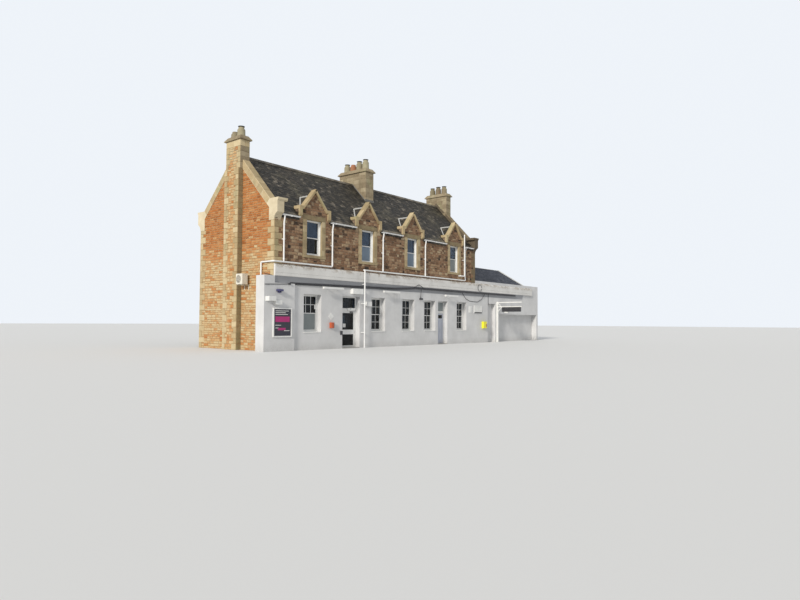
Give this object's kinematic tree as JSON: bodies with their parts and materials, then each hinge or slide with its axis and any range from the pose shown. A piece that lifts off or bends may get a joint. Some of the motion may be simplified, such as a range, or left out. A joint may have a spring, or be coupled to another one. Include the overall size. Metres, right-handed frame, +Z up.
{
  "type": "railway station building",
  "caption": "Two-storey stone station house with wallhead dormers, chimney stacks and a painted ground storey, with a single-storey wing and hinged doors.",
  "frame": {"origin": "on the ground under the middle of the two-storey house, on its ridge line", "axes": "+X along the platform from the house to the wing, +Y from the platform to the back, +Z up"},
  "size_m": [30.09, 9.22, 12.3],
  "materials": {
    "painted_wall": "pale grey-white masonry paint, matt, slightly weathered",
    "rubble": "brown sandstone rubble with pale mortar",
    "gable_rubble": "orange and cream sandstone rubble",
    "dressed_stone": "tooled buff sandstone, weathered",
    "old_slate": "brown-grey slate with moss",
    "blue_slate": "dark blue-black slate",
    "clay": "fired buff clay",
    "white_pipe": "white rainwater goods",
    "white_timber": "white gloss paint on timber",
    "door_paint": "grey-blue gloss paint on timber",
    "glass": "clear float glass",
    "floor_slab": "concrete floor",
    "floor_timber": "timber floor",
    "dark_metal": "black paint",
    "white_metal": "white paint",
    "yellow_metal": "yellow paint",
    "steel": "brushed"
  },
  "bodies": {
    "building": {"ground_floor": "floor_slab", "first_floor": "floor_timber", "end_pier": "painted_wall", "front_wall_left": "painted_wall", "front_wall_middle": "painted_wall", "front_wall_right": "painted_wall", "front_wall_head": "painted_wall", "cornice": "painted_wall", "upper_front_wall": "rubble", "rear_wall": "rubble", "left_gable_wall": "gable_rubble", "right_gable_wall": "rubble", "window_margins": "dressed_stone", "dormer_copings": "dressed_stone", "gable_skews": "dressed_stone", "chimney_breast": "gable_rubble", "left_chimney": "dressed_stone", "middle_chimney": "dressed_stone", "right_chimney": "dressed_stone", "chimney_pots": "clay", "chimney_cowls": "dark_metal", "main_roof": "old_slate", "ridge_tiles": "old_slate", "dormer_roofs": "old_slate", "gutters": "white_pipe", "rainwater_pipes": "white_pipe", "ground_windows": "white_timber", "ground_glass": "glass", "upper_windows": "white_timber", "upper_glass": "glass", "hall_door_frame": "white_timber", "side_door_frame": "white_timber", "wing_front_wall": "painted_wall", "wing_infill": "painted_wall", "wing_end_wall": "rubble", "wing_rear_wall": "rubble", "wing_roof": "blue_slate", "poster_frame": "white_metal", "notice_board": "white_metal", "yellow_box": "yellow_metal", "wall_lights": "white_metal", "board_bracket": "white_metal", "train_board": "dark_metal"},
    "hall_door": {"hall_door_leaf": "white_timber", "hall_door_glass": "glass", "hall_door_handle": "steel"},
    "side_door": {"side_door_leaf": "door_paint", "side_door_glass": "glass", "side_door_handle": "steel"}
  },
  "joints": [
    {"name": "hall_door_hinge", "type": "hinge", "parent": "building", "child": "hall_door", "pos_m": [-3.198, -2.956, 0], "axis": [0, 0, -1], "range_deg": [0, 90]},
    {"name": "side_door_hinge", "type": "hinge", "parent": "building", "child": "side_door", "pos_m": [5.812, -2.956, 0], "axis": [0, 0, -1], "range_deg": [0, 90]}
  ]
}
